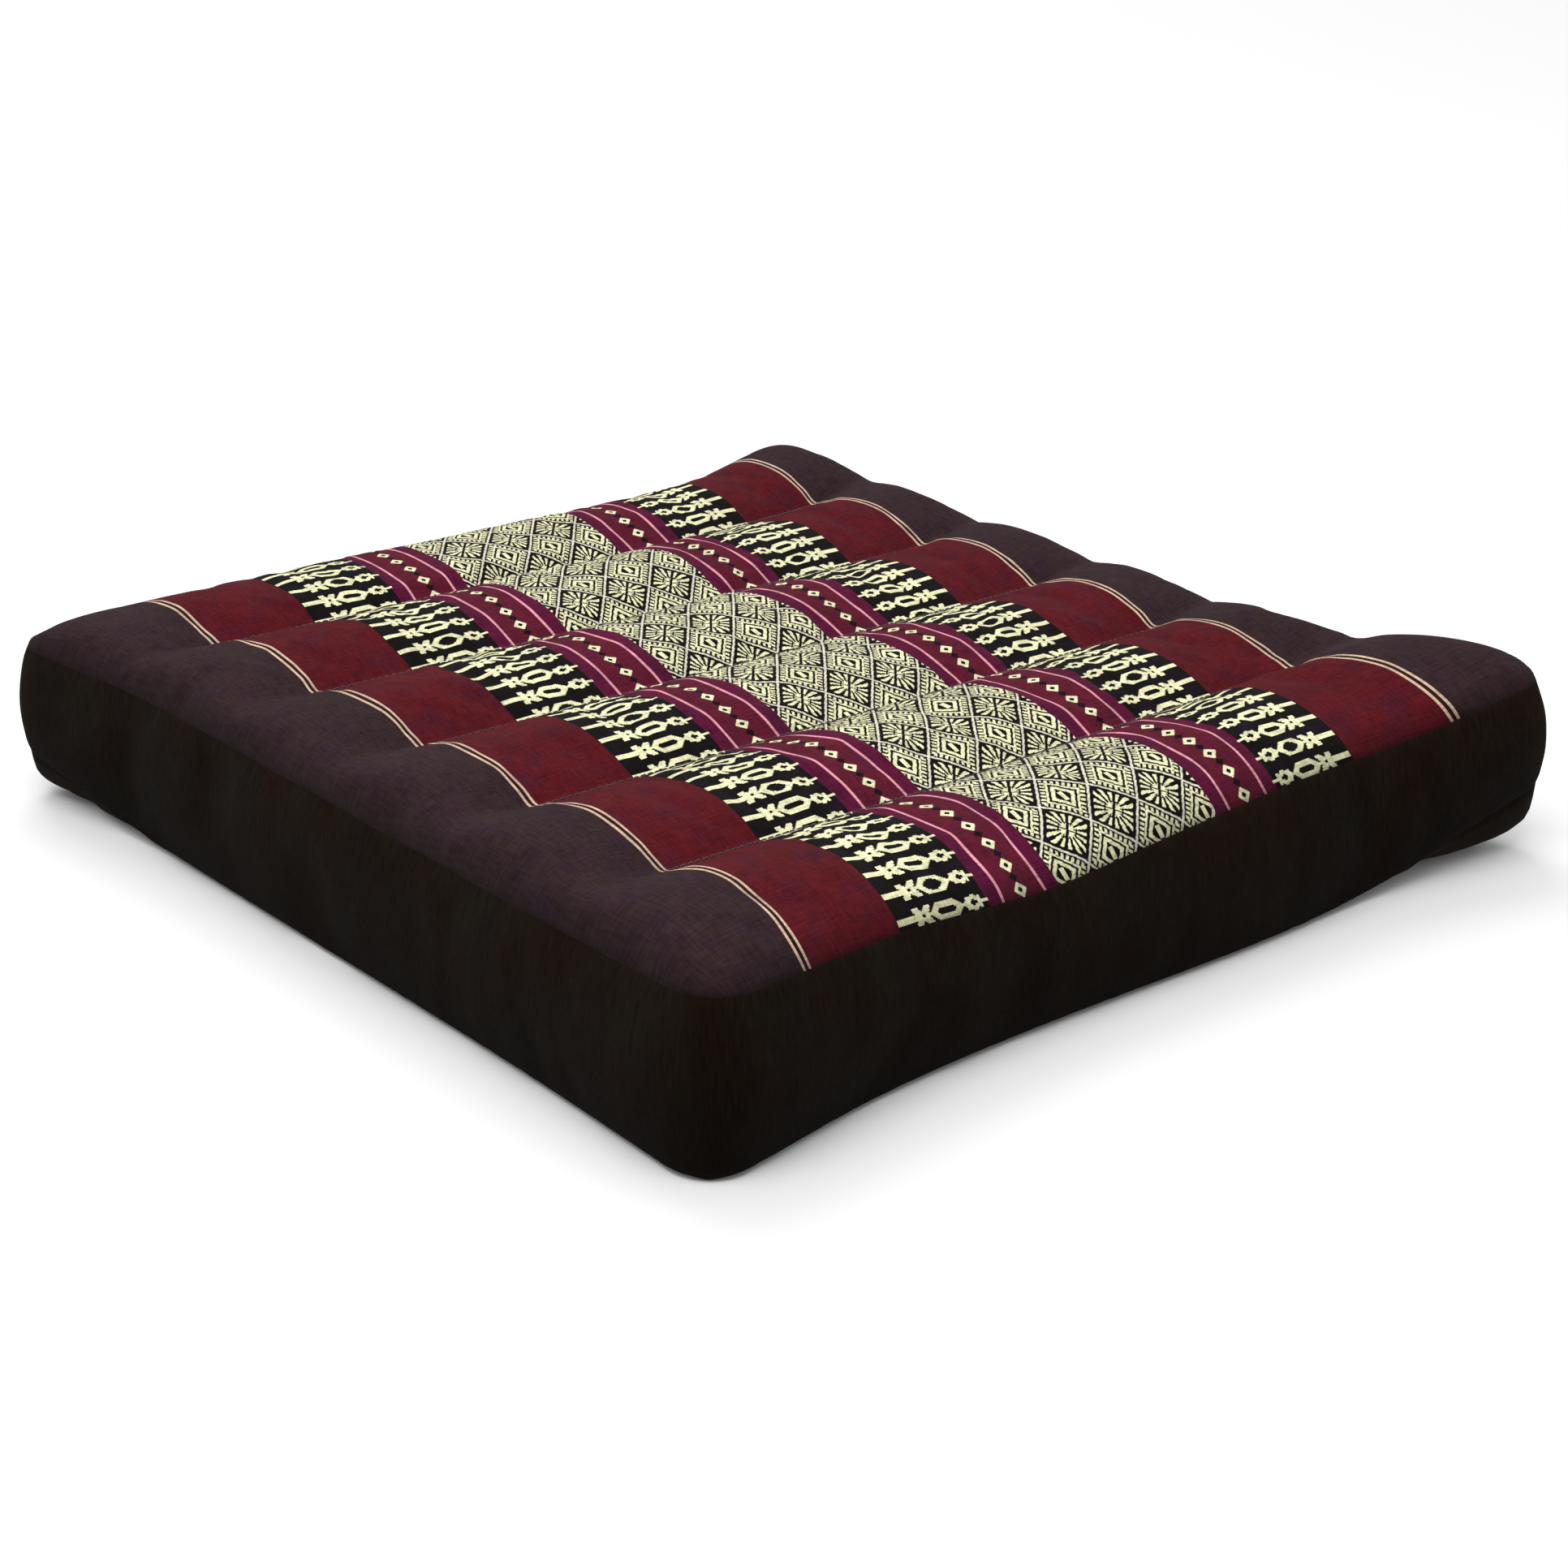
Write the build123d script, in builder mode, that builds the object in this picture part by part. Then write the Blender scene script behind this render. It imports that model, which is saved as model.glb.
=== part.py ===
from build123d import *

import os

# Square floor cushion: a sewn cotton casing stuffed with kapok in six parallel channels.
# Millimetres, +Z up, +Y along the woven stripes and +X across them.  The origin is on the floor
# under the middle of the cushion.  The channels run along X, side by side in Y.  An upright baffle
# stands between each channel and the next, sewn to the top panel above and the bottom panel below.

# Driving dimensions
SIDE = 500.0  # length of each edge of the square, from seam to seam
CHANNELS = 6  # stuffed channels, one behind the other along Y
SEAM_HIGH = 71.0  # height of the seam between the top panel and the side band
SEAM_LOW = 6.0  # height of the seam between the bottom panel and the side band
CREST = 94.0  # height of the puffs between two grooves
GROOVE_HIGH = 80.0  # height of the sewn grooves in the top panel
GROOVE_LOW = 4.0  # how far the sewn grooves in the bottom panel stand off the floor
SWELL = 6.0  # how far the side band bows out at half height
CORNER = 34.0  # radius of the round cut that takes off the four upright corners
CLOTH = 1.0  # thickness of the woven cotton
BAFFLE_CLOTH = 0.8  # thickness of the plain cotton inside
BAFFLE_INSET = 54.0  # gap between a baffle's end and the side seam
THREAD = 0.8  # thickness of the sewing thread
SEAM_SET_BACK = 3.0  # the seams' thread lies this far from the seam, inside the side band

# Where the rounded edges begin
EDGE_RUN = 18.0  # the bottom panel reaches the floor this far in from its seam
GROOVE_RUN = 14.0  # the bottom panel lifts off the floor this far from each groove
BORDER_RUN = 70.0  # the puffs' ends round down to the side seam over this length
BORDER_RISE = 26.0  # height that the rounding of the puffs' ends starts from, above the seam
UNDERCUT = 5.0  # depth of the crosswise outline below the lengthwise one, along the floor

# The hand-sewn closing of the mouth that the kapok goes in by
CLOSING_COUNT = 50
CLOSING_PITCH = 8.0
CLOSING_REACH = 4.0  # how far a stitch reaches each way from the seam

HALF = SIDE / 2
CHANNEL = SIDE / CHANNELS
GROOVES = [-HALF + CHANNEL * number for number in range(1, CHANNELS)]
MIDDLES = [-HALF + CHANNEL * (number + 0.5) for number in range(CHANNELS)]
MID_HEIGHT = (SEAM_HIGH + SEAM_LOW) / 2
BAFFLE_LENGTH = SIDE - 2 * BAFFLE_INSET
TALL = 3 * CREST  # taller than the cushion, for the blocks that pieces are cut out with
WIDE = 2 * SIDE  # wider than the cushion, for the same blocks

os.makedirs("parts", exist_ok=True)


def draw_sides(skin, floor):
    """Both bowed sides of a section, and the rounding from each down to its floor line."""
    seam = HALF - skin
    for way in (-1, 1):
        high = (way * seam, SEAM_HIGH - skin)
        low = (way * seam, SEAM_LOW + skin)
        ThreePointArc(high, (way * (seam + SWELL), MID_HEIGHT), low)
        TangentArc((way * (seam - EDGE_RUN), floor), low, tangent=(way, 0))


def draw_puffs(skin):
    """The six arcs of the top panel, from seam to groove to groove to seam."""
    seam = HALF - skin
    groove_points = [(groove, GROOVE_HIGH - skin) for groove in GROOVES]
    feet = [(-seam, SEAM_HIGH - skin), *groove_points, (seam, SEAM_HIGH - skin)]
    for start, middle, finish in zip(feet[:-1], MIDDLES, feet[1:]):
        ThreePointArc(start, (middle, CREST - skin), finish)


def draw_floor(skin):
    """The flat stretches that the cushion lies on, and the shallow groove between each two."""
    turns = [EDGE_RUN + skin - HALF]
    for groove in GROOVES:
        lip = (groove, GROOVE_LOW + skin)
        TangentArc((groove - GROOVE_RUN, skin), lip, tangent=(1, 0))
        TangentArc((groove + GROOVE_RUN, skin), lip, tangent=(-1, 0))
        turns += [groove - GROOVE_RUN, groove + GROOVE_RUN]
    turns.append(HALF - skin - EDGE_RUN)
    for start, finish in zip(turns[::2], turns[1::2]):
        Line((start, skin), (finish, skin))


def draw_puff_ends(skin):
    """The crosswise section's top: a flat line above the puffs, rounded down to both seams."""
    seam = HALF - skin
    high = SEAM_HIGH - skin
    above = high + BORDER_RISE
    for way in (-1, 1):
        TangentArc((way * (seam - BORDER_RUN), above), (way * seam, high), tangent=(way, 0))
    Line((BORDER_RUN - seam, above), (seam - BORDER_RUN, above))


def stuffed_form(skin):
    """The whole stuffed shape with its surface moved in by skin, or out where skin is below 0."""
    with BuildPart() as form:
        with BuildSketch(Plane.YZ):
            with BuildLine():
                draw_puffs(skin)
                draw_sides(skin, floor=skin)
                draw_floor(skin)
            make_face()
        extrude(amount=SIDE, both=True)
        with BuildSketch(Plane.XZ):
            with BuildLine():
                draw_puff_ends(skin)
                draw_sides(skin, floor=skin - UNDERCUT)
                flat = HALF - skin - EDGE_RUN
                Line((-flat, skin - UNDERCUT), (flat, skin - UNDERCUT))
            make_face()
        extrude(amount=SIDE, both=True, mode=Mode.INTERSECT)
        with BuildSketch(Plane.XY.offset(-TALL / 2)):
            across = SIDE + 2 * (SWELL + 1 - skin)
            RectangleRounded(across, across, CORNER - skin)
        extrude(amount=TALL, mode=Mode.INTERSECT)
    return form.part


outside = stuffed_form(0)
inside = stuffed_form(CLOTH)
thread_depth = stuffed_form(CLOTH + THREAD)
thread_reach = stuffed_form(-THREAD)

with BuildPart() as casing:
    add(outside)
    add(inside, mode=Mode.SUBTRACT)

above_high_seam = Plane.XY.offset(SEAM_HIGH)
below_high_seam = Plane((0, 0, SEAM_HIGH), z_dir=(0, 0, -1))
above_low_seam = Plane.XY.offset(SEAM_LOW)
below_low_seam = Plane((0, 0, SEAM_LOW), z_dir=(0, 0, -1))
front_and_left = Plane((0, 0, 0), z_dir=(-1, -1, 0))
back_and_right = Plane((0, 0, 0), z_dir=(1, 1, 0))

# The striped sheet over the puffs
with BuildPart() as top_panel:
    add(casing.part)
    split(bisect_by=above_high_seam, keep=Keep.TOP)
top_panel.part.label = "top_panel"
export_step(top_panel.part, "parts/top_panel.step")

# The plain sheet under the channels
with BuildPart() as bottom_panel:
    add(casing.part)
    split(bisect_by=below_low_seam, keep=Keep.TOP)
bottom_panel.part.label = "bottom_panel"
export_step(bottom_panel.part, "parts/bottom_panel.step")

# The side band, in two lengths that meet at the front right and the back left corners
for place, half_plane in (("front_left", front_and_left), ("back_right", back_and_right)):
    with BuildPart() as band:
        add(casing.part)
        split(bisect_by=below_high_seam, keep=Keep.TOP)
        split(bisect_by=above_low_seam, keep=Keep.TOP)
        split(bisect_by=half_plane, keep=Keep.TOP)
    band.part.label = f"side_band_{place}"
    export_step(band.part, f"parts/side_band_{place}.step")

# The thread of the two long seams, sewn from the wrong side, so it lies just inside the band
with BuildPart() as thread_layer:
    add(inside)
    add(thread_depth, mode=Mode.SUBTRACT)

inner_threads = []
for place, height in (("top", SEAM_HIGH - SEAM_SET_BACK), ("bottom", SEAM_LOW + SEAM_SET_BACK)):
    with BuildPart() as seam_thread:
        add(thread_layer.part)
        with Locations((0, 0, height)):
            Box(WIDE, WIDE, THREAD, mode=Mode.INTERSECT)
    seam_thread.part.label = f"seam_thread_{place}"
    export_step(seam_thread.part, f"parts/seam_thread_{place}.step")
    inner_threads.append(seam_thread.part)

# The thread of the upright seams at the two corners where the lengths of side band meet
join_length = SEAM_HIGH - SEAM_LOW - 2 * (SEAM_SET_BACK + THREAD)
for place, way in (("front_right", 1), ("back_left", -1)):
    with BuildPart() as join_thread:
        add(thread_layer.part)
        with Locations(Location((way * HALF, -way * HALF, MID_HEIGHT), (0, 0, 45))):
            Box(THREAD, 2 * CORNER, join_length, mode=Mode.INTERSECT)
    join_thread.part.label = f"join_thread_{place}"
    export_step(join_thread.part, f"parts/join_thread_{place}.step")
    inner_threads.append(join_thread.part)

# The kapok, one roll to a channel
with BuildPart() as filling:
    add(inside)
    add(inner_threads, mode=Mode.SUBTRACT)

for number, middle in enumerate(MIDDLES, start=1):
    with BuildPart() as roll:
        add(filling.part)
        with Locations((0, middle, MID_HEIGHT)):
            Box(WIDE, CHANNEL - BAFFLE_CLOTH, TALL, mode=Mode.INTERSECT)
    roll.part.label = f"kapok_roll_{number}"
    export_step(roll.part, f"parts/kapok_roll_{number}.step")

# The baffles, upright cotton walls that stop short of both side seams
for number, groove in enumerate(GROOVES, start=1):
    with BuildPart() as baffle:
        add(inside)
        with Locations((0, groove, MID_HEIGHT)):
            Box(BAFFLE_LENGTH, BAFFLE_CLOTH, TALL, mode=Mode.INTERSECT)
    baffle.part.label = f"baffle_{number}"
    export_step(baffle.part, f"parts/baffle_{number}.step")

# The sewing that holds each baffle's two edges, lying in the fold of its groove
for place, height in (("top", GROOVE_HIGH), ("bottom", GROOVE_LOW)):
    for number, groove in enumerate(GROOVES, start=1):
        with BuildPart() as groove_thread:
            with Locations((0, groove, height)):
                Box(BAFFLE_LENGTH, 1.5 * THREAD, 2 * THREAD)
            add(outside, mode=Mode.SUBTRACT)
        groove_thread.part.label = f"groove_thread_{place}_{number}"
        export_step(groove_thread.part, f"parts/groove_thread_{place}_{number}.step")

# Whip stitches over the lower seam of the right side, one solid for each stitch
with BuildPart() as closing_stitches:
    with Locations((HALF, 0, SEAM_LOW)):
        with GridLocations(0, CLOSING_PITCH, 1, CLOSING_COUNT):
            Box(2 * CLOSING_REACH, THREAD, 2 * CLOSING_REACH)
    add(thread_reach, mode=Mode.INTERSECT)
    add(outside, mode=Mode.SUBTRACT)
closing_stitches.part.label = "closing_stitches"
export_step(closing_stitches.part, "parts/closing_stitches.step")
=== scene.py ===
import math

import bmesh
import bpy
import numpy as np
from mathutils import Euler, Matrix, Vector, noise


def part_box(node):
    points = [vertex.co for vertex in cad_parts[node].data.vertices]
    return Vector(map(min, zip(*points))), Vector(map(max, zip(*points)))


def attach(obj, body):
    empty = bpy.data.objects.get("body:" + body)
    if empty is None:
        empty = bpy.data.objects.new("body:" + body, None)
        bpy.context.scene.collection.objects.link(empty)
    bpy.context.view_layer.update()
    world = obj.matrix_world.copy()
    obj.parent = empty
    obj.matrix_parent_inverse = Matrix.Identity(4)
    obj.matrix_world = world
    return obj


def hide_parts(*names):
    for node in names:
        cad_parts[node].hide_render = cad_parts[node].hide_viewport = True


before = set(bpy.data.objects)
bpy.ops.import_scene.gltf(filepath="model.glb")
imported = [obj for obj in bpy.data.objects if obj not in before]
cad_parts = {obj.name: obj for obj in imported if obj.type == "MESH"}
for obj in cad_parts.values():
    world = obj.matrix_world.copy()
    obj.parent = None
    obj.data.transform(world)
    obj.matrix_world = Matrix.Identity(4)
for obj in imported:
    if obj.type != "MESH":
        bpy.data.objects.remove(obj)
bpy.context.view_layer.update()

# Square floor cushion: one woven, striped top cloth, a plain dark side band in two lengths, a plain
# base cloth, five baffles and six rolls of kapok.  Metres, +Z up, stripes along Y, channels along X.

# ---- Sizes, read from the frame ---------------------------------------------------------------

MM = 0.001
TOP_LOW, TOP_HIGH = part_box("top_panel")
BAFFLES = [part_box(f"baffle_{number}") for number in range(1, 6)]
HALF = TOP_HIGH.x
SEAM_HIGH = TOP_LOW.z
CREST = TOP_HIGH.z
SEAM_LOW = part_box("bottom_panel")[1].z
GROOVE_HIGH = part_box("groove_thread_top_1")[0].z
GROOVE_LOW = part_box("groove_thread_bottom_1")[1].z
BAFFLE_END = BAFFLES[0][1].x
GROOVES = [(low.y + high.y) / 2 for low, high in BAFFLES]
CHANNELS = len(GROOVES) + 1
CHANNEL = 2 * HALF / CHANNELS

CLOTH = 1.0 * MM
THREAD = 0.35 * MM  # radius of the sewing thread
CELLS = 18 * CHANNELS  # cells of the cloth's grid along each side
CELL = 2 * HALF / CELLS
BAND_ROWS = 14  # rows of cells down the side band
NEAR = 0.1 * CELL  # a point closer than this to a line of the grid is on it
TOP_LEVEL = 0.999  # in the flat casing, whose height is 1, the top cloth is above this
BASE_LEVEL = 0.001  # and the base cloth is below this
CORNER = 24 * MM  # plan radius of the upright corners
BAFFLE_CLOTH = 0.7 * MM

# The casing before it is stuffed
PUFF_DROP = 6 * MM  # how far the puffs are under their full height, until the kapok swells them
PUFF_STRAY = 1.5 * MM  # how much the puffs' height varies
PUFF_POWER = 2.3  # a higher power makes a puff flatter above and steeper at its grooves
SHOULDER_RUN = 38 * MM  # the top cloth rounds down to its side seams over this length
FULLER_FROM = 0.165  # the puffs' right-hand ends, beyond this X, are fuller than the left-hand ones
FULLER_RUN = 0.06  # they grow to their fullest over this length
FULLER_RISE = 5 * MM  # how much higher they are
FULLER_TIGHTER = 12 * MM  # how much shorter their shoulders are
BORDER_FILL = 0.80  # the part of a groove's depth that is gone where its line meets the side seam
RIM = 0.3 * SEAM_LOW  # height of the seam round the base cloth
RIM_RUN = 12 * MM  # the base cloth rises to that seam over this length
FOLD_RUN = 14 * MM  # the base cloth lies flat again this far from a groove
FOLD_FADE = 12 * MM  # a groove in the base cloth fades over this length past the baffle's end
LIFT_RUN = 36 * MM  # under a raised corner, the base cloth is back on the floor this far in
BAND_BOW = 3.5 * MM  # how far the side band bows out at half height

# What the stuffing and the sewing do to it
GROOVE_END_HOLD = 0.75  # how firmly a groove's end is held, where 1 is fast
GROOVE_END_RUN = 32 * MM  # the hold dies away over this length past the end
SEAM_HOLD = 0.9  # how firmly the seams are held
MOST_SWELL = 7 * MM  # the kapok moves no point further than this
MOST_SINK = 1.5 * MM  # it sinks no point further than this, and only points of the lowest third
SEAM_TUCK = 1.0 * MM  # how far a seam draws the cloth in

# The creases that fan out over the border from the end of each groove
FAN_BACK = 4 * MM  # their middle is this far before the end
FAN_RISE = 14 * MM  # they rise over this distance from the middle
FAN_REACH = 27 * MM  # and die away over this one
FAN_HEIGHT = 1.5 * MM

# What is inside it
SLACK = 1.5 * MM  # gap between the cloth and the kapok
ROLL_GAP = 0.5 * MM  # a roll of kapok ends this far from the middle of a baffle
SEAM_IN = 2.4 * MM  # how far the seams' thread is inside the band
SEAM_SET_BACK = 3 * MM  # how far it is above or below the seam
JOIN_IN = 2.6 * MM  # how far the joins' thread is inside the band

# Stripes of the top cloth, as distances in from the side seam
DOUBLE_LINE = 54.2 * MM
RED_END = 107.6 * MM
BLACK_END = 159.0 * MM
PINK_LINES = (167.1 * MM, 191.9 * MM)
CHAIN = 179.5 * MM
TRELLIS = 200.2 * MM
PITCH = 12.5 * MM  # from one spindle, or one link of the chain, to the next
CELL_WIDE = 14.75 * MM  # half of the trellis's repeat across the cloth
CELL_LONG = 17.5 * MM  # half of its repeat along the cloth


def srgb(red, green, blue):
    """A colour given in 0 to 255 steps, as the linear values that shaders use."""
    steps = [value / 255 for value in (red, green, blue)]
    return [s / 12.92 if s <= 0.04045 else ((s + 0.055) / 1.055) ** 2.4 for s in steps]


# ---- The casing's shape -----------------------------------------------------------------------


def smoothstep(x):
    """0 below 0, 1 above 1, and an even S between them."""
    x = min(max(x, 0.0), 1.0)
    return x * x * (3 - 2 * x)


def shoulder(gap, run):
    """0 at an edge, rising as a quarter circle does to 1 at a distance of run from it."""
    return math.sqrt(max(0.0, 1 - (1 - min(max(gap, 0.0) / run, 1)) ** 2))


def rounded(x, y):
    """Where a point of the flat square goes when its four corners are rounded."""
    inner = HALF - CORNER
    across, along = abs(x) - inner, abs(y) - inner
    if across <= 0 or along <= 0:
        return x, y
    a, b = across / CORNER, along / CORNER
    new_x = inner + CORNER * a * math.sqrt(1 - b * b / 2)
    new_y = inner + CORNER * b * math.sqrt(1 - a * a / 2)
    return math.copysign(new_x, x), math.copysign(new_y, y)


def outward(x, y):
    """The level direction that the side band faces at a point of its run."""
    inner = HALF - CORNER
    away = Vector((max(abs(x) - inner, 0.0), max(abs(y) - inner, 0.0), 0.0))
    return Vector((math.copysign(away.x, x), math.copysign(away.y, y), 0.0)).normalized()


def crown(x, y):
    """Height of the top cloth: round puffs, sharp grooves, and plain shoulders at both ends."""
    place = (y + HALF) / CHANNEL
    number = min(int(place + 1e-6), CHANNELS - 1)
    across = 2 * (place - number) - 1
    plump = PUFF_STRAY * noise.noise(Vector((7 * x, 3.1 * number, 0.5)))
    fuller = smoothstep((x - FULLER_FROM) / FULLER_RUN)
    crest = CREST - PUFF_DROP + plump + FULLER_RISE * fuller
    past = (abs(x) - BAFFLE_END) / (HALF - BAFFLE_END)
    groove = GROOVE_HIGH + (crest - GROOVE_HIGH) * BORDER_FILL * smoothstep(1.05 * past)
    at_edge = number == 0 and across < 0 or number == CHANNELS - 1 and across > 0
    foot = SEAM_HIGH if at_edge else groove
    height = crest - (crest - foot) * abs(across) ** PUFF_POWER
    run = SHOULDER_RUN - FULLER_TIGHTER * fuller
    return SEAM_HIGH + (height - SEAM_HIGH) * shoulder(HALF - abs(x), run)


def base(x, y):
    """Height of the base cloth: flat on the floor, up to the seam, and up at the grooves."""
    gap = min(HALF - abs(x), HALF - abs(y))
    rim = RIM * (1 - shoulder(gap, RIM_RUN))
    near = min(abs(y - groove) for groove in GROOVES)
    held = smoothstep((BAFFLE_END + FOLD_FADE - abs(x)) / FOLD_FADE)
    return max(rim, GROOVE_LOW * held * max(0.0, 1 - near / FOLD_RUN) ** 2)


# Where the sewn casing strays from a true square, in millimetres: how a place moves in X, Y and Z at
# the height of the upper seam, and at the floor.  The first table's moves are each a corner's, and
# are shared across the whole square.  The second's die away within reach of their place.
TWIST = {
    (-1, -1): ((1.4, -1.4, 2.5), (1.4, -1.4, 0.0)),
    (1, -1): ((-1.1, 0.0, -5.7), (-1.1, 0.0, 0.0)),
    (-1, 1): ((1.3, 1.7, 6.2), (1.3, 1.7, 0.0)),
    (1, 1): ((-1.6, -0.3, 2.2), (-1.6, -0.3, 0.0)),
}
STRAYS = (
    ((-HALF, -HALF), 75 * MM, (-2.0, -12.5, 3.7), (-4.0, -13.5, 0.0)),
    ((HALF, -HALF), 65 * MM, (25.5, -19.0, 20.0), (28.0, -23.0, 36.0)),
    ((-HALF, HALF), 70 * MM, (-13.0, 6.0, 1.1), (-16.0, 7.5, 24.0)),
    ((HALF, HALF), 90 * MM, (-8.6, 13.0, 6.0), (-8.6, 13.0, 3.0)),
    ((HALF - 0.04, 0.04 - HALF), 85 * MM, (0.0, 0.0, 2.0), (0.0, 0.0, 0.0)),
    ((0.1, -HALF), 120 * MM, (0.0, 0.0, 0.0), (0.0, -8.0, 0.0)),
    ((-0.055, -HALF), 62 * MM, (0.0, 0.0, -5.2), (0.0, 0.0, 0.0)),
    ((0.115, -HALF), 62 * MM, (0.0, 0.0, 3.6), (0.0, 0.0, 0.0)),
    ((HALF, 0.07), 110 * MM, (-3.0, 0.0, 0.0), (-3.0, 0.0, 0.0)),
)


def strayed(point):
    """Where a point of a true, square casing goes in this one."""
    lift = point.z / SEAM_HIGH
    shares = []
    for (side, end), moves in TWIST.items():
        share = (0.5 + side * point.x / 2 / HALF) * (0.5 + end * point.y / 2 / HALF)
        shares.append((share, moves))
    for place, reach, *moves in STRAYS:
        away = (Vector(place) - point.xy).length / reach
        shares.append((math.exp(-away * away), moves))
    total = Vector(point)
    for share, (above, below) in shares:
        total += share * MM * Vector(below).lerp(Vector(above), lift)
    return total


def formed(flat):
    """Where a point of the casing lies before it is stuffed.  The height of flat is 1 on the top
    cloth, 0 on the base cloth and between them on the band."""
    x, y, height = flat
    plan = Vector((*rounded(x, y), 0.0))
    if height > TOP_LEVEL:
        plan.z = crown(x, y)
    elif height < BASE_LEVEL:
        plan.z = base(x, y)
        sewn = strayed(plan)
        sewn.z *= 1 - shoulder(min(HALF - abs(x), HALF - abs(y)), LIFT_RUN)
        sewn.z = max(sewn.z, plan.z)
        return sewn
    else:
        plan.z = RIM + (SEAM_HIGH - RIM) * height
        plan += outward(x, y) * BAND_BOW * (1 - (2 * height - 1) ** 2)
    return strayed(plan)


TOP, BASE, FRONT_LEFT, BACK_RIGHT = range(4)


def flat_casing():
    """The casing as one closed skin, still square and flat, with its cloth coordinates."""
    bm = bmesh.new()
    piece = bm.faces.layers.int.new("piece")
    cloth = bm.loops.layers.uv.new("cloth")
    place = Matrix.Translation((0, 0, 1))
    bmesh.ops.create_grid(bm, x_segments=CELLS, y_segments=CELLS, size=HALF, matrix=place)
    rim = [edge for edge in bm.edges if edge.is_boundary]
    for _ in range(BAND_ROWS):
        made = bmesh.ops.extrude_edge_only(bm, edges=rim)["geom"]
        corners = [part for part in made if isinstance(part, bmesh.types.BMVert)]
        bmesh.ops.translate(bm, verts=corners, vec=(0, 0, -1 / BAND_ROWS))
        edges = [part for part in made if isinstance(part, bmesh.types.BMEdge)]
        rim = [edge for edge in edges if edge.is_boundary]
    bmesh.ops.create_grid(bm, x_segments=CELLS, y_segments=CELLS, size=HALF)
    bmesh.ops.remove_doubles(bm, verts=bm.verts, dist=NEAR)
    bmesh.ops.recalc_face_normals(bm, faces=bm.faces)
    for face in bm.faces:
        middle = face.calc_center_median()
        if middle.z > TOP_LEVEL:
            face[piece] = TOP
        elif middle.z < BASE_LEVEL:
            face[piece] = BASE
        else:
            face[piece] = FRONT_LEFT if middle.x + middle.y < 0 else BACK_RIGHT
        for loop in face.loops:
            x, y, height = loop.vert.co
            band = face[piece] in (FRONT_LEFT, BACK_RIGHT)
            loop[cloth].uv = (x - y, height * (SEAM_HIGH - SEAM_LOW)) if band else (x, y)
    return bm


def in_groove(flat):
    """Whether a point of the flat casing is sewn to a baffle."""
    level = flat.z > TOP_LEVEL or flat.z < BASE_LEVEL
    near = min(abs(flat.y - groove) for groove in GROOVES)
    return level and near < NEAR and abs(flat.x) < BAFFLE_END + NEAR


def past_groove(flat):
    """How far past a groove's end a point is, in the line of the groove: 0 to 1, or None."""
    near = min(abs(flat.y - groove) for groove in GROOVES)
    past = (abs(flat.x) - BAFFLE_END) / GROOVE_END_RUN
    return past if flat.z > TOP_LEVEL and near < NEAR and 0 < past < 1 else None


def gather(flat):
    """Height of the fine creases that fan out over the border from the ends of the grooves."""
    middle = BAFFLE_END - FAN_BACK
    if flat.z < TOP_LEVEL or abs(flat.x) < middle:
        return 0.0
    total = 0.0
    for number, groove in enumerate(GROOVES):
        away = Vector((abs(flat.x) - middle, flat.y - groove))
        reach = away.length
        turn = math.atan2(away.y, away.x)
        waver = 4 * noise.noise(Vector((9 * flat.x, groove, 0)))
        fan = math.cos(13 * turn + 2.3 * number + waver)
        total += fan * smoothstep(reach / FAN_RISE) * math.exp(-((reach / FAN_REACH) ** 2))
    return FAN_HEIGHT * total


def on_seam(flat):
    """Whether a point of the flat casing is on the seam round the top cloth or the base cloth."""
    edge = max(abs(flat.x), abs(flat.y)) > HALF - NEAR
    return edge and (flat.z > TOP_LEVEL or flat.z < BASE_LEVEL)


def on_join(flat):
    """Whether a point of the flat casing is where the two lengths of side band are joined."""
    return abs(flat.x + flat.y) < NEAR and abs(flat.x) > HALF - NEAR


def stuffed(mesh, held):
    """Blows the casing up as the kapok does, and gives where its points come to.  Each point in held
    stays by its weight there."""
    casing = bpy.data.objects.new("casing", mesh)
    bpy.context.scene.collection.objects.link(casing)
    group = casing.vertex_groups.new(name="held")
    for index, weight in held.items():
        group.add([index], weight, "REPLACE")
    cloth = casing.modifiers.new("kapok", "CLOTH")
    settings = cloth.settings
    settings.quality = 5
    settings.mass = 0.3
    settings.tension_stiffness = 12
    settings.compression_stiffness = 12
    settings.shear_stiffness = 6
    settings.bending_stiffness = 0.4
    settings.use_pressure = True
    settings.uniform_pressure_force = 4
    settings.shrink_min = -0.02
    settings.vertex_group_mass = "held"
    settings.pin_stiffness = 1
    settings.effector_weights.gravity = 0
    cloth.collision_settings.use_collision = False
    last = 20
    cloth.point_cache.frame_start = 1
    cloth.point_cache.frame_end = last
    start = np.array([vert.co for vert in mesh.vertices])
    scene = bpy.context.scene
    for step in range(1, last + 1):
        scene.frame_set(step)
    shown = casing.evaluated_get(bpy.context.evaluated_depsgraph_get())
    swollen = np.array([vert.co for vert in shown.data.vertices])
    scene.frame_set(1)
    bpy.data.objects.remove(casing)
    move = swollen - start
    far = np.linalg.norm(move, axis=1, keepdims=True)
    finish = start + move * np.minimum(1, MOST_SWELL / np.maximum(far, 1e-9))
    # Only the lowest third sinks at all, and nothing goes below the floor
    sink = MOST_SINK * (start[:, 2] < SEAM_HIGH / 3)
    lowest = np.maximum(0, start[:, 2] - sink)
    finish[:, 2] = np.maximum(finish[:, 2], lowest)
    return finish


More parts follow.
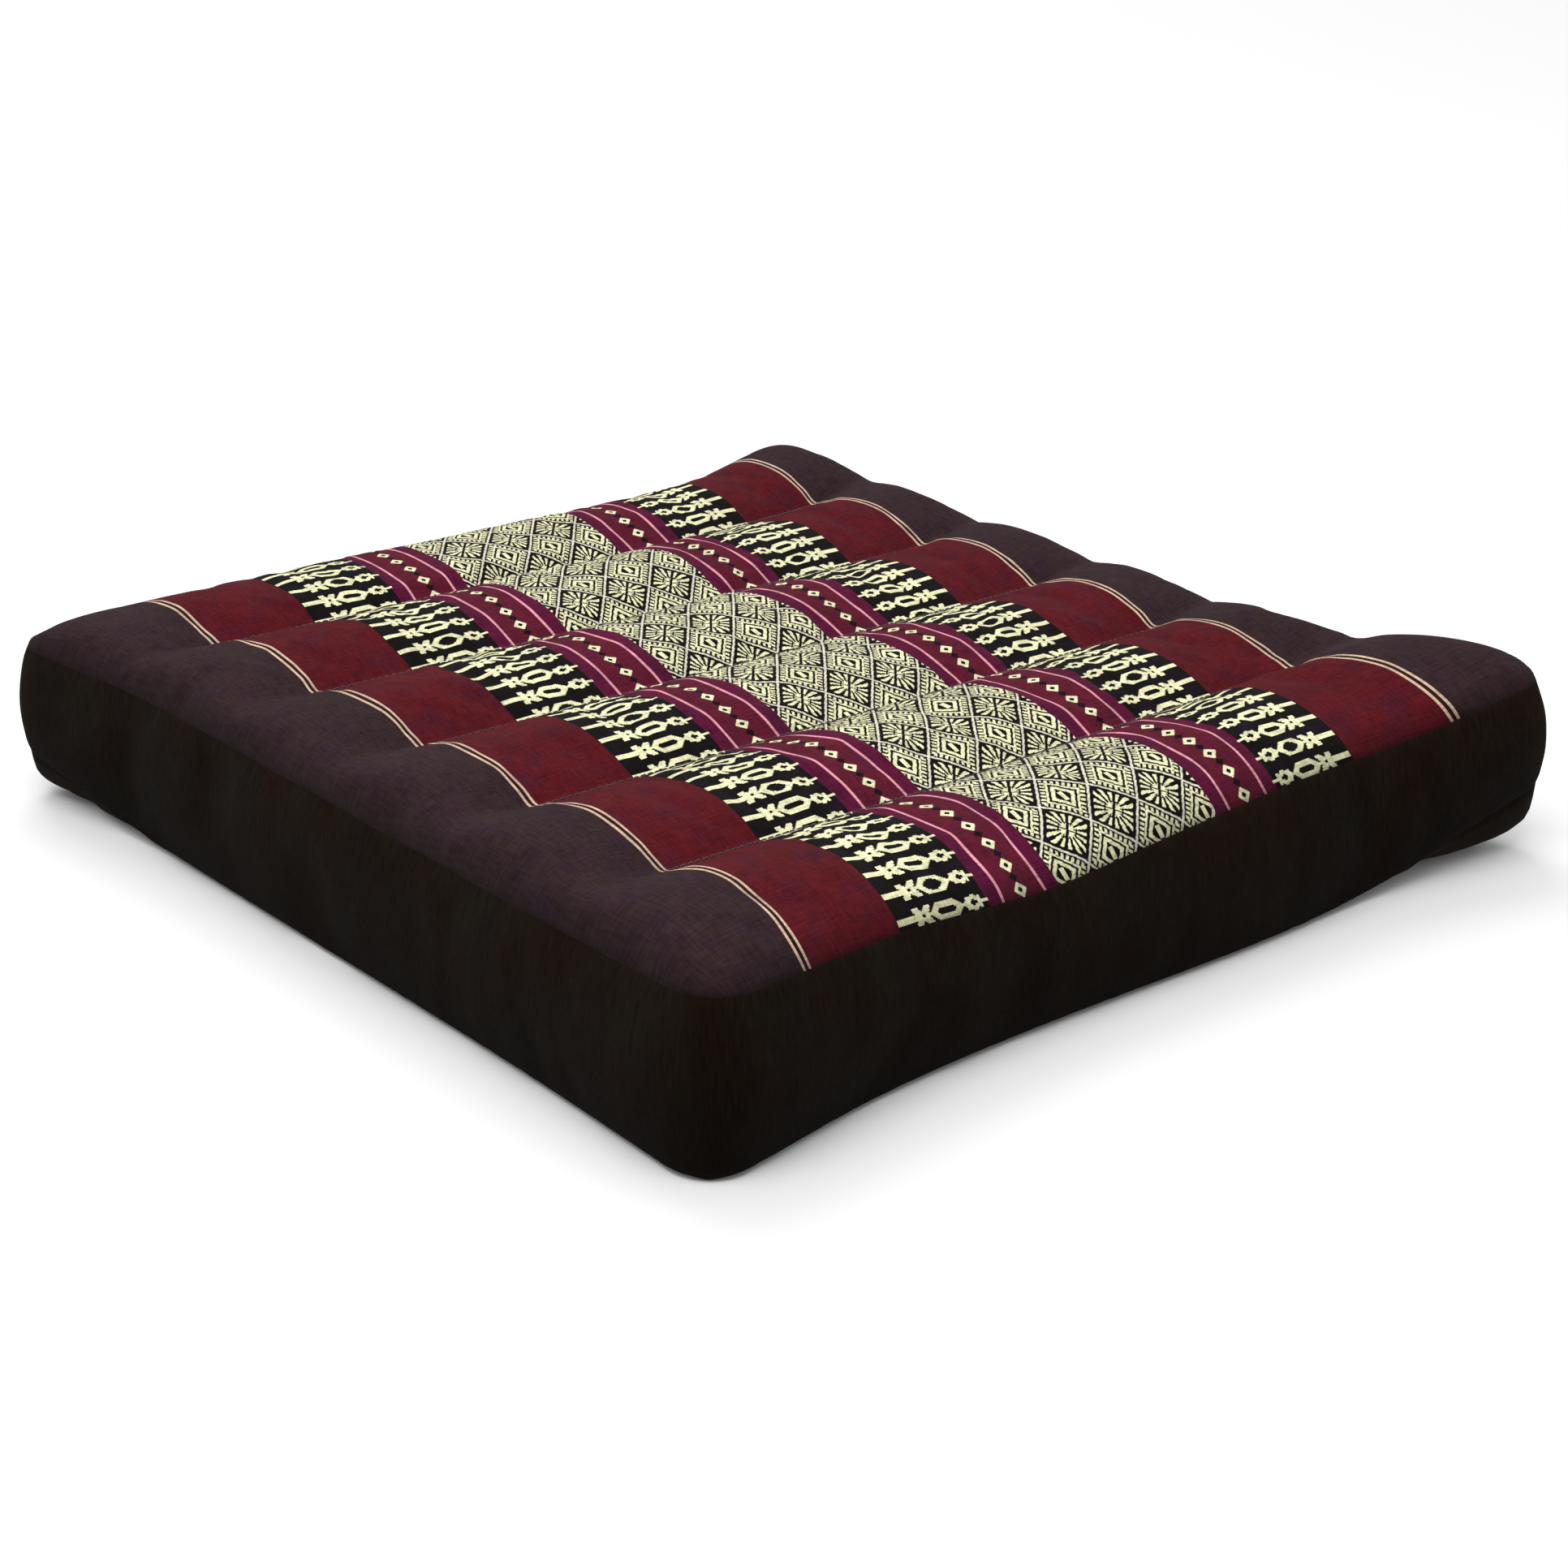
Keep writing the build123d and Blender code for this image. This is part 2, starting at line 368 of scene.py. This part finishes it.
def sewn_casing():
    """The stuffed casing as a bmesh, its seams drawn in and its grooves creased, and the flat place
    of each of its points."""
    bm = flat_casing()
    flats = [vert.co.copy() for vert in bm.verts]
    for vert, flat in zip(bm.verts, flats):
        vert.co = formed(flat)
    bm.normal_update()
    mesh = bpy.data.meshes.new("casing")
    bm.to_mesh(mesh)
    held = {}
    for index, flat in enumerate(flats):
        if in_groove(flat):
            held[index] = 1.0
        elif past_groove(flat) is not None:
            held[index] = GROOVE_END_HOLD * (1 - past_groove(flat))
        elif on_seam(flat):
            held[index] = SEAM_HOLD
    for vert, place in zip(bm.verts, stuffed(mesh, held)):
        vert.co = place
    bpy.data.meshes.remove(mesh)
    band = [vert for vert, flat in zip(bm.verts, flats) if BASE_LEVEL < flat.z < TOP_LEVEL]
    for _ in range(5):
        bmesh.ops.smooth_vert(bm, verts=band, factor=0.5, use_axis_x=True, use_axis_y=True)
    bm.normal_update()
    for vert, flat in zip(bm.verts, flats):
        if on_seam(flat) or on_join(flat):
            vert.co -= vert.normal * SEAM_TUCK
        else:
            vert.co += vert.normal * gather(flat)
    crease = bm.edges.layers.float.new("crease_edge")
    for edge in bm.edges:
        if all(in_groove(flats[vert.index]) for vert in edge.verts):
            edge[crease] = 1.0
    bm.normal_update()
    return bm, flats


def lay_out_cloth(bm, flats):
    """Measures the top cloth along its middle, so that the woven figures keep their length over the
    puffs, and gives the cut length."""
    column = [
        (flat.y, bm.verts[index].co.copy())
        for index, flat in enumerate(flats)
        if flat.z > TOP_LEVEL and abs(flat.x) < NEAR
    ]
    column.sort(key=lambda pair: pair[0])
    rows = [pair[0] for pair in column]
    steps = [(b[1] - a[1]).length for a, b in zip(column, column[1:])]
    along = np.concatenate([[0], np.cumsum(steps)])
    cloth = bm.loops.layers.uv["cloth"]
    piece = bm.faces.layers.int["piece"]
    for face in bm.faces:
        if face[piece] == TOP:
            for loop in face.loops:
                loop[cloth].uv.y = float(np.interp(loop[cloth].uv.y, rows, along))
    return float(along[-1])


# ---- Making pieces ----------------------------------------------------------------------------


def placed(bm, name, slot, material, *nodes):
    """A finished piece, which rides on the cushion and stands for those CAD nodes."""
    mesh = bpy.data.meshes.new(name)
    bm.to_mesh(mesh)
    bm.free()
    for face in mesh.polygons:
        face.use_smooth = True
    mesh.materials.append(material)
    piece = bpy.data.objects.new(name, mesh)
    bpy.context.scene.collection.objects.link(piece)
    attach(piece, "root")
    if nodes:
        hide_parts(*nodes)
    return piece


def cut_out(casing, kind):
    """The faces of one cloth, as a bmesh of its own."""
    bm = casing.copy()
    piece = bm.faces.layers.int["piece"]
    others = [face for face in bm.faces if face[piece] != kind]
    bmesh.ops.delete(bm, geom=others, context="FACES")
    return bm


def as_cloth(piece):
    """Smooths a piece of the casing and gives it the cloth's thickness, inwards."""
    smooth = piece.modifiers.new("smooth", "SUBSURF")
    smooth.levels = smooth.render_levels = 1
    thick = piece.modifiers.new("thick", "SOLIDIFY")
    thick.thickness = CLOTH
    thick.offset = -1


# ---- Materials --------------------------------------------------------------------------------


class Field:
    """A number that varies over a surface.  Arithmetic on it adds shader nodes.  A comparison is 1
    where it holds and 0 elsewhere; & is where both hold and | where either does."""

    def __init__(self, tree, socket):
        self.tree, self.socket = tree, socket

    def math(self, operation, *values):
        node = self.tree.nodes.new("ShaderNodeMath")
        node.operation = operation
        for socket, value in zip(node.inputs, (self, *values)):
            if isinstance(value, Field):
                self.tree.links.new(value.socket, socket)
            else:
                socket.default_value = value
        return Field(self.tree, node.outputs[0])

    def __add__(self, other):
        return self.math("ADD", other)

    def __sub__(self, other):
        return self.math("SUBTRACT", other)

    def __rsub__(self, other):
        return self.math("MULTIPLY", -1.0).math("ADD", other)

    def __mul__(self, other):
        return self.math("MULTIPLY", other)

    def __truediv__(self, other):
        return self.math("DIVIDE", other)

    def __abs__(self):
        return self.math("ABSOLUTE")

    def __lt__(self, other):
        return self.math("LESS_THAN", other)

    def __gt__(self, other):
        return self.math("GREATER_THAN", other)

    def __and__(self, other):
        return self.math("MINIMUM", other)

    def __or__(self, other):
        return self.math("MAXIMUM", other)

    def wrapped(self, half):
        """Repeats from -half to half."""
        return self.math("WRAP", half, -half)

    def stepped(self, step):
        """Rounded to whole threads."""
        return self.math("DIVIDE", step).math("FLOOR").math("ADD", 0.5).math("MULTIPLY", step)

    def between(self, low, high):
        return (self > low) & (self < high)


def new_material(name, roughness, sheen):
    material = bpy.data.materials.new(name)
    material.use_nodes = True
    tree = material.node_tree
    shader = tree.nodes["Principled BSDF"]
    shader.inputs["Roughness"].default_value = roughness
    shader.inputs["Sheen Weight"].default_value = sheen
    shader.inputs["Sheen Roughness"].default_value = 0.5
    shader.inputs["Specular IOR Level"].default_value = 0.02
    return material, tree, shader


def coordinates(tree, uv=None):
    """The two cloth coordinates of a piece, or its three object coordinates."""
    if uv:
        source = tree.nodes.new("ShaderNodeUVMap")
        source.uv_map = uv
        vector = source.outputs[0]
    else:
        vector = tree.nodes.new("ShaderNodeTexCoord").outputs["Object"]
    split = tree.nodes.new("ShaderNodeSeparateXYZ")
    tree.links.new(vector, split.inputs[0])
    return vector, [Field(tree, output) for output in split.outputs]


def mottle(tree, vector, scale, detail=3.0, stretch=(1, 1, 1)):
    """Soft random variation about 0.5."""
    mapping = tree.nodes.new("ShaderNodeMapping")
    mapping.inputs["Scale"].default_value = stretch
    texture = tree.nodes.new("ShaderNodeTexNoise")
    texture.inputs["Scale"].default_value = scale
    texture.inputs["Detail"].default_value = detail
    tree.links.new(vector, mapping.inputs[0])
    tree.links.new(mapping.outputs[0], texture.inputs["Vector"])
    return Field(tree, texture.outputs["Fac"])


def blended(tree, under, over, share):
    """The colour over laid on the colour under by share.  A colour is three numbers or a socket."""
    node = tree.nodes.new("ShaderNodeMix")
    node.data_type = "RGBA"
    for name, value in (("A", under), ("B", over)):
        socket = next(s for s in node.inputs if s.name == name and s.type == "RGBA")
        if isinstance(value, bpy.types.NodeSocket):
            tree.links.new(value, socket)
        else:
            socket.default_value = (*value, 1)
    tree.links.new(share.socket, node.inputs["Factor"])
    return next(s for s in node.outputs if s.type == "RGBA")


def shaded(tree, colour, tone):
    """The colour times a grey tone."""
    node = tree.nodes.new("ShaderNodeVectorMath")
    node.operation = "SCALE"
    tree.links.new(colour, node.inputs[0])
    tree.links.new(tone.socket, node.inputs["Scale"])
    return node.outputs[0]


def relief(tree, shader, height, distance):
    bump = tree.nodes.new("ShaderNodeBump")
    bump.inputs["Strength"].default_value = 1.0
    bump.inputs["Distance"].default_value = distance
    tree.links.new(height.socket, bump.inputs["Height"])
    tree.links.new(bump.outputs[0], shader.inputs["Normal"])


def plain_weave(across, along, pitch):
    """Height of a plain weave: warp over weft, and weft over warp in the next place."""
    turn = 2 * math.pi / pitch
    warp = (across * turn).math("SINE")
    weft = (along * turn).math("SINE")
    return warp * weft


def spindle(inward, along):
    """The light figure of the black band: a stem, a star, a long ring and a small diamond."""
    reach = (inward.stepped(0.8 * MM) - RED_END) / (BLACK_END - RED_END)
    off = abs(along.wrapped(PITCH / 2).stepped(0.7 * MM)) / PITCH
    row = (along / PITCH + 0.5).math("FLOOR")
    slim = row.math("FLOORED_MODULO", 4.0) < 0.5
    stem = reach.between(0.0, 0.24) & (off < 0.085)
    at_star = reach - 0.30
    petals = abs(abs(at_star) - off * 0.24) < 0.040
    star = ((abs(at_star) * 7.5 + off * 3.2) < 0.64) | (petals & (off < 0.33) & (abs(at_star) < 0.09))
    star_eye = (abs(at_star) < 0.016) & (off < 0.05)
    neck = reach.between(0.36, 0.80) & (off < 0.06)
    at_ring = abs(reach - 0.56)
    ring = ((at_ring + off * 0.26) < 0.185) & (off < 0.34)
    slot = ((at_ring + off * 0.3) < 0.105) & (off < (slim * 0.14 + 0.085))
    at_diamond = abs(reach - 0.855)
    diamond = ((at_diamond * 7.2 + off * 3.0) < 0.92) | ((abs(at_diamond - 0.07) < 0.02) & (off < 0.2))
    hole = (at_diamond * 22 + off * 8) < 1.0
    tip = reach.between(0.92, 1.02) & (off < 0.08)
    light = (stem | star | neck | ring | diamond | tip) - (slot | star_eye | hole)
    return light > 0.5


def chain(inward, along):
    """The small ringed diamonds down the middle of the magenta band, and the dark links between."""
    side = abs((inward - CHAIN).stepped(0.6 * MM)) / (4.2 * MM)
    off = abs(along.wrapped(PITCH / 2).stepped(0.6 * MM)) / PITCH
    apart = 0.5 - off
    diamond = ((side + off * 3.0) < 1.0) & ((side * 3 + off * 9) > 1.0)
    eye = (side * 3 + off * 9) < 1.0
    link = (side * 1.6 + apart * 5.0) < 1.0
    return diamond, eye | link


def trellis(across, along):
    """The light threads of the middle band: a lattice of lines with a leafy star in every other
    cell, and nested diamonds with a toothed edge in the cells between."""
    p = (across.stepped(0.5 * MM) / CELL_WIDE).wrapped(1.0)
    q = (along.stepped(0.5 * MM) / CELL_LONG).wrapped(1.0)
    depth = abs(p) + abs(q)
    turn = q.math("ARCTAN2", p)
    fingers = (turn * 16).math("COSINE") < (0.35 - depth * 0.5)
    split = abs(p - q) < 0.06
    parting = (abs(p + q) < 0.035) | ((abs(depth - 0.36) < 0.03) & (abs(p * q) > 0.02))
    star = (depth < 0.80) & ((fingers | (depth < 0.24)) - split - parting > 0.5)
    line = abs(depth - 1.0) < 0.05
    p_in, q_in = 1 - abs(p), 1 - abs(q)
    inside = p_in + q_in
    tooth = ((p_in - q_in) * 4.5).math("FRACT") < 0.55
    teeth = inside.between(0.68, 0.88) & tooth
    rings = inside.between(0.57, 0.66) | inside.between(0.31, 0.47)
    streak = (p_in < 0.08) & (q_in < 0.16)
    return star | line | (depth > 1.0) & (teeth | rings | streak), line


def brocade(length):
    """The top cloth's finish.  It is woven in stripes that mirror about the middle, and has painted shade
    along its seams.
    """
    material, tree, shader = new_material("striped_brocade", 0.85, 0.02)
    vector, (across, along, _) = coordinates(tree, "cloth")
    wander = (mottle(tree, vector, 9.0, 2.0) - 0.5) * (1.6 * MM)
    inward = HALF - abs(across + wander)
    along = along - length / 2
    from_seam = inward & (length / 2 - abs(along))
    plum, red, magenta = srgb(44, 30, 32), srgb(74, 15, 21), srgb(76, 14, 42)
    crimson, black = srgb(80, 18, 36), srgb(13, 11, 9)
    cream, rose, pale = srgb(206, 204, 166), srgb(200, 136, 148), srgb(186, 160, 138)
    colour = blended(tree, plum, red, inward > DOUBLE_LINE)
    colour = blended(tree, colour, black, inward > RED_END)
    colour = blended(tree, colour, magenta, inward > BLACK_END)
    colour = blended(tree, colour, crimson, inward.between(*PINK_LINES))
    colour = blended(tree, colour, black, inward > TRELLIS)
    beside = abs(abs(inward - DOUBLE_LINE) - 1.5 * MM)
    colour = blended(tree, colour, srgb(38, 20, 18), abs(inward - DOUBLE_LINE) < 2.3 * MM)
    colour = blended(tree, colour, pale, beside < 0.65 * MM)
    pink = (abs(inward - PINK_LINES[0]) < 0.75 * MM) | (abs(inward - PINK_LINES[1]) < 0.75 * MM)
    colour = blended(tree, colour, rose, pink)
    links, dark = chain(inward, along)
    colour = blended(tree, colour, black, dark & (abs(inward - CHAIN) < 6 * MM))
    links = links & (abs(inward - CHAIN) < 6 * MM)
    spindles = spindle(inward, along) & inward.between(RED_END, BLACK_END + 2 * MM)
    lattice, line = trellis(across + wander, along)
    lattice = lattice & (inward > TRELLIS)
    figures = links | spindles | lattice
    colour = blended(tree, colour, cream, figures)
    colour = blended(tree, colour, srgb(196, 190, 172), line & (inward > TRELLIS))
    patches = mottle(tree, vector, 70.0, 4.0)
    colour = blended(tree, colour, srgb(34, 18, 40), (patches - 0.45) * (1 - figures) * 1.2)
    warp_slubs = mottle(tree, vector, 900.0, 2.0, stretch=(1.0, 0.12, 1.0))
    weft_slubs = mottle(tree, vector, 900.0, 2.0, stretch=(0.12, 1.0, 1.0))
    tone = mottle(tree, vector, 26.0, 6.0) * 0.5 + (warp_slubs + weft_slubs) * 1.1 - 0.35
    # Painted shade: the cloth's tone falls to half within 15 mm of the seams round it, standing in for the
    # shade where the cloth rolls over into the side band
    tone = tone * (((from_seam / (15 * MM)) & 1.0) * 0.5 + 0.5)
    tree.links.new(shaded(tree, colour, tone), shader.inputs["Base Color"])
    height = plain_weave(across, along, 0.9 * MM) * 0.25 + (warp_slubs + weft_slubs) * 0.5 + figures
    relief(tree, shader, height, 0.25 * MM)
    return material


def plain_cotton(name, colour, roughness=0.85, pitch=1.0 * MM, uv="cloth", shade_rise=None):
    """A plain woven cotton of one colour, with slubs and faint creases.  The last argument, if given, is
    the height over which painted shade turns it from its darkest, at its lower edge, to its lightest."""
    material, tree, shader = new_material(name, roughness, 0.01)
    vector, (across, along, _) = coordinates(tree, uv)
    creases = mottle(tree, vector, 14.0, 3.0, stretch=(4.0, 0.6, 1.0))
    slubs = mottle(tree, vector, 700.0, 2.0, stretch=(1.0, 0.15, 1.0))
    tone = creases * 1.2 + slubs * 1.4 - 0.3
    # Painted shade: darker towards the bottom of the piece and lighter towards the top
    if shade_rise:
        tone = tone * ((along / shade_rise) * 0.9 + 0.55)
    share = mottle(tree, vector, 30.0, 5.0) * 3.0 - 1.0
    warm = blended(tree, colour, [value * part for value, part in zip(colour, (1.05, 0.55, 0.45))], share)
    tree.links.new(shaded(tree, warm, tone), shader.inputs["Base Color"])
    height = plain_weave(across, along, pitch) * 0.3 + creases * 2.0
    relief(tree, shader, height, 0.4 * MM)
    return material


def twisted_thread(name, colour):
    material, tree, shader = new_material(name, 0.6, 0.3)
    vector, (x, y, z) = coordinates(tree)
    strands = ((x + y + z) * (2 * math.pi / (0.5 * MM))).math("SINE")
    tone = strands * 0.2 + mottle(tree, vector, 200.0) * 0.4 + 0.6
    base_colour = blended(tree, colour, [value * 0.7 for value in colour], mottle(tree, vector, 90.0))
    tree.links.new(shaded(tree, base_colour, tone), shader.inputs["Base Color"])
    relief(tree, shader, strands, 0.1 * MM)
    return material


def loose_kapok():
    material, tree, shader = new_material("kapok_fibre", 0.9, 0.4)
    vector, _ = coordinates(tree)
    clumps = mottle(tree, vector, 60.0, 6.0)
    fibres = mottle(tree, vector, 400.0, 4.0, stretch=(1.0, 0.3, 1.0))
    colour = blended(tree, srgb(232, 220, 190), srgb(196, 178, 140), clumps)
    tree.links.new(shaded(tree, colour, fibres * 0.5 + 0.7), shader.inputs["Base Color"])
    relief(tree, shader, clumps * 2.0 + fibres, 1.5 * MM)
    return material


# ---- The cushion ------------------------------------------------------------------------------

casing, flats = sewn_casing()
casing.verts.ensure_lookup_table()
cloth_length = lay_out_cloth(casing, flats)

DARK = srgb(16, 12, 7)
top_finish = brocade(cloth_length)
base_finish = plain_cotton("base_cotton", DARK)
# The side band has painted shade, darkest at its lower edge
side_finish = plain_cotton("side_cotton", DARK, shade_rise=SEAM_HIGH)
lining_finish = plain_cotton("lining_cotton", srgb(214, 204, 178), uv=None)
thread_finish = twisted_thread("dark_thread", srgb(60, 30, 34))
kapok_finish = loose_kapok()

top_cloth = placed(cut_out(casing, TOP), "top_cloth", "brocade", top_finish, "top_panel")
base_cloth = placed(cut_out(casing, BASE), "base_cloth", "side_cotton", base_finish, "bottom_panel")
front_left = placed(
    cut_out(casing, FRONT_LEFT), "band_front_left", "side_cotton", side_finish, "side_band_front_left"
)
back_right = placed(
    cut_out(casing, BACK_RIGHT), "band_back_right", "side_cotton", side_finish, "side_band_back_right"
)
for piece in (top_cloth, base_cloth, front_left, back_right):
    as_cloth(piece)


def kapok_roll(number):
    """The kapok of one channel: the casing's own inside, smoothed, and cut off at the baffles."""
    low = GROOVES[number - 2] if number > 1 else -1.0
    high = GROOVES[number - 1] if number < CHANNELS else 1.0
    bm = casing.copy()
    every_way = {"use_axis_x": True, "use_axis_y": True, "use_axis_z": True}
    for _ in range(3):
        bmesh.ops.smooth_vert(bm, verts=bm.verts, factor=0.5, **every_way)
    bm.normal_update()
    for vert in bm.verts:
        vert.co -= vert.normal * (CLOTH + SLACK)
    for limit, way in ((low + ROLL_GAP, -1), (high - ROLL_GAP, 1)):
        parts = [*bm.verts, *bm.edges, *bm.faces]
        plane = Vector((0, limit, 0))
        bmesh.ops.bisect_plane(bm, geom=parts, plane_co=plane, plane_no=(0, way, 0), clear_outer=True)
        edges = [edge for edge in bm.edges if edge.is_boundary]
        if edges:
            bmesh.ops.triangle_fill(bm, edges=edges, use_beauty=True)
    bmesh.ops.recalc_face_normals(bm, faces=bm.faces)
    roll = placed(bm, f"kapok_{number}", "kapok", kapok_finish, f"kapok_roll_{number}")
    return roll


for number in range(1, CHANNELS + 1):
    kapok_roll(number)


def row_of(height, line):
    """The casing's points along one groove, in order."""
    found = [
        (flat.x, casing.verts[index].co.copy())
        for index, flat in enumerate(flats)
        if abs(flat.z - height) < BASE_LEVEL and abs(flat.y - line) < NEAR and in_groove(flat)
    ]
    return [place for _, place in sorted(found, key=lambda pair: pair[0])]


def baffle_cloth(number):
    """The upright wall between two rolls, from its groove above to its groove below."""
    line = GROOVES[number - 1]
    upper, lower = row_of(1.0, line), row_of(0.0, line)
    bm = bmesh.new()
    bmesh.ops.create_grid(bm, x_segments=len(upper) - 1, y_segments=12, size=0.5)
    for vert in bm.verts:
        place = round((vert.co.x + 0.5) * (len(upper) - 1))
        above = upper[place] - Vector((0, 0, 2 * CLOTH))
        below = lower[place] + Vector((0, 0, 2 * CLOTH))
        vert.co = below.lerp(above, vert.co.y + 0.5)
    bmesh.ops.recalc_face_normals(bm, faces=bm.faces)
    name = f"baffle_{number}"
    wall = placed(bm, f"baffle_cloth_{number}", "lining_cotton", lining_finish, name)
    thick = wall.modifiers.new("thick", "SOLIDIFY")
    thick.thickness = BAFFLE_CLOTH
    thick.offset = 0


for number in range(1, CHANNELS):
    baffle_cloth(number)


# ---- Sewing -----------------------------------------------------------------------------------


def thread_piece(name, runs, closed, radius, *nodes):
    """Thread along each of the runs of points, as one mesh."""
    curve = bpy.data.curves.new(name, "CURVE")
    curve.dimensions = "3D"
    curve.bevel_depth = radius
    curve.bevel_resolution = 1
    curve.use_fill_caps = True
    for run in runs:
        spline = curve.splines.new("POLY")
        spline.points.add(len(run) - 1)
        for point, place in zip(spline.points, run):
            point.co = (*place, 1)
        spline.use_cyclic_u = closed
    shape = bpy.data.objects.new(name, curve)
    bm = bmesh.new()
    mesh = bpy.data.meshes.new_from_object(shape)
    bm.from_mesh(mesh)
    bpy.data.meshes.remove(mesh)
    bpy.data.objects.remove(shape)
    bpy.data.curves.remove(curve)
    return placed(bm, name, "dark_thread", thread_finish, *nodes)


def at(run, along):
    """The point at a distance along a run of points spaced one cell apart."""
    place = min(max(along / CELL, 0), len(run) - 1.001)
    first = int(place)
    return run[first].lerp(run[first + 1], place - first)


def groove_stitches(name, run, up, node):
    """A row of lock stitches in a groove, each one a short arch of thread."""
    stitch, rest = 3.2 * MM, 0.8 * MM
    length = (len(run) - 1) * CELL
    runs = []
    for number in range(int(length / (stitch + rest))):
        start = number * (stitch + rest)
        arch = [(0.0, -0.5), (0.25, 0.7), (0.75, 0.7), (1.0, -0.5)]
        runs.append([at(run, start + a * stitch) + up * (h * THREAD + 0.2 * MM) for a, h in arch])
    thread_piece(name, runs, False, THREAD, node)


for number, line in enumerate(GROOVES, start=1):
    for place, height, way in (("top", 1.0, 1), ("bottom", 0.0, -1)):
        run = row_of(height, line)
        name = f"groove_stitches_{place}_{number}"
        groove_stitches(name, run, Vector((0, 0, way)), f"groove_thread_{place}_{number}")


def seam_ring(height):
    """The points just inside the seam round one of the two large cloths, in order round it."""
    found = []
    for index, flat in enumerate(flats):
        if on_seam(flat) and abs(flat.z - height) < BASE_LEVEL:
            vert = casing.verts[index]
            toward = 1 if height > 0.5 else -1
            inside = vert.co - outward(flat.x, flat.y) * SEAM_IN - Vector((0, 0, toward * SEAM_SET_BACK))
            found.append((math.atan2(flat.y, flat.x), inside))
    return [place for _, place in sorted(found, key=lambda pair: pair[0])]


for place, height in (("top", 1.0), ("bottom", 0.0)):
    thread_piece(f"seam_stitches_{place}", [seam_ring(height)], True, THREAD, f"seam_thread_{place}")


def join_run(way):
    """The points just inside the upright seam between the two lengths of side band."""
    found = []
    for index, flat in enumerate(flats):
        if on_join(flat) and flat.x * way > 0 and 0.07 < flat.z < 0.93:
            vert = casing.verts[index]
            found.append((flat.z, vert.co - outward(flat.x, flat.y) * JOIN_IN))
    return [place for _, place in sorted(found, key=lambda pair: pair[0])]


for place, way in (("front_right", 1), ("back_left", -1)):
    thread_piece(f"join_stitches_{place}", [join_run(way)], False, THREAD, f"join_thread_{place}")


def closing_whipstitch():
    """Slanting hand stitches over the lower seam of the right side, where the kapok went in."""
    low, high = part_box("closing_stitches")
    edge = []
    for index, flat in enumerate(flats):
        if flat.x > HALF - NEAR and flat.z < BASE_LEVEL:
            edge.append((flat.y, casing.verts[index].co.copy()))
    edge = [place for _, place in sorted(edge, key=lambda pair: pair[0])]
    pitch = 8 * MM
    count = int((high.y - low.y) / pitch) + 1
    runs = []
    for number in range(count):
        along = low.y + HALF + number * pitch
        lean = 2.2 * MM + 0.8 * MM * noise.noise(Vector((number * 1.7, 0, 0)))
        upper = at(edge, along + lean) + Vector((1.3 * MM, 0, 4.0 * MM))
        over = at(edge, along + lean / 2) + Vector((1.4 * MM, 0, 0.4 * MM))
        under = at(edge, along) + Vector((-3.2 * MM, 0, -2.4 * MM))
        under.z = max(under.z, 0.4 * MM)
        runs.append([upper - Vector((1.5 * MM, 0, 0)), upper, over, under, under + Vector((0, 0, 1 * MM))])
    thread_piece("closing_whipstitch", runs, False, 0.4 * MM, "closing_stitches")


closing_whipstitch()

# ---- Floor, light and camera ------------------------------------------------------------------


def floor():
    bm = bmesh.new()
    below = Matrix.Translation((0, 0, -0.4 * MM))
    bmesh.ops.create_grid(bm, x_segments=1, y_segments=1, size=14.0, matrix=below)
    mesh = bpy.data.meshes.new("floor")
    bm.to_mesh(mesh)
    bm.free()
    material, tree, shader = new_material("pale_floor", 0.9, 0.0)
    shader.inputs["Base Color"].default_value = (0.73, 0.73, 0.73, 1)
    mesh.materials.append(material)
    plane = bpy.data.objects.new("floor", mesh)
    bpy.context.scene.collection.objects.link(plane)


def soft_light(name, place, size, power):
    lamp = bpy.data.lights.new(name, "AREA")
    lamp.size = size
    lamp.energy = power
    light = bpy.data.objects.new(name, lamp)
    light.location = place
    light.rotation_euler = (-Vector(place)).to_track_quat("-Z", "Y").to_euler()
    bpy.context.scene.collection.objects.link(light)


def studio():
    floor()
    soft_light("back", (2.2, 5.3, 7.2), 5.2, 360)
    soft_light("overhead", (-1.2, -0.6, 2.7), 2.2, 60)
    world = bpy.data.worlds.new("studio")
    world.use_nodes = True
    world.node_tree.nodes["Background"].inputs["Color"].default_value = (1, 1, 1, 1)
    world.node_tree.nodes["Background"].inputs["Strength"].default_value = 0.83
    bpy.context.scene.world = world
    bpy.context.scene.view_settings.view_transform = "Standard"
    lens = bpy.data.cameras.new("camera")
    lens.sensor_width = 36
    lens.lens = 64.13
    lens.clip_start, lens.clip_end = 0.01, 50
    camera = bpy.data.objects.new("camera", lens)
    camera.location = (-0.8346, -0.9592, 0.5409)
    turn = Euler((math.radians(67.6), 0, math.radians(-41.7))).to_matrix()
    camera.rotation_euler = (turn @ Matrix.Rotation(math.radians(1.04), 3, "Z")).to_euler()
    bpy.context.scene.collection.objects.link(camera)
    bpy.context.scene.camera = camera


studio()
casing.free()
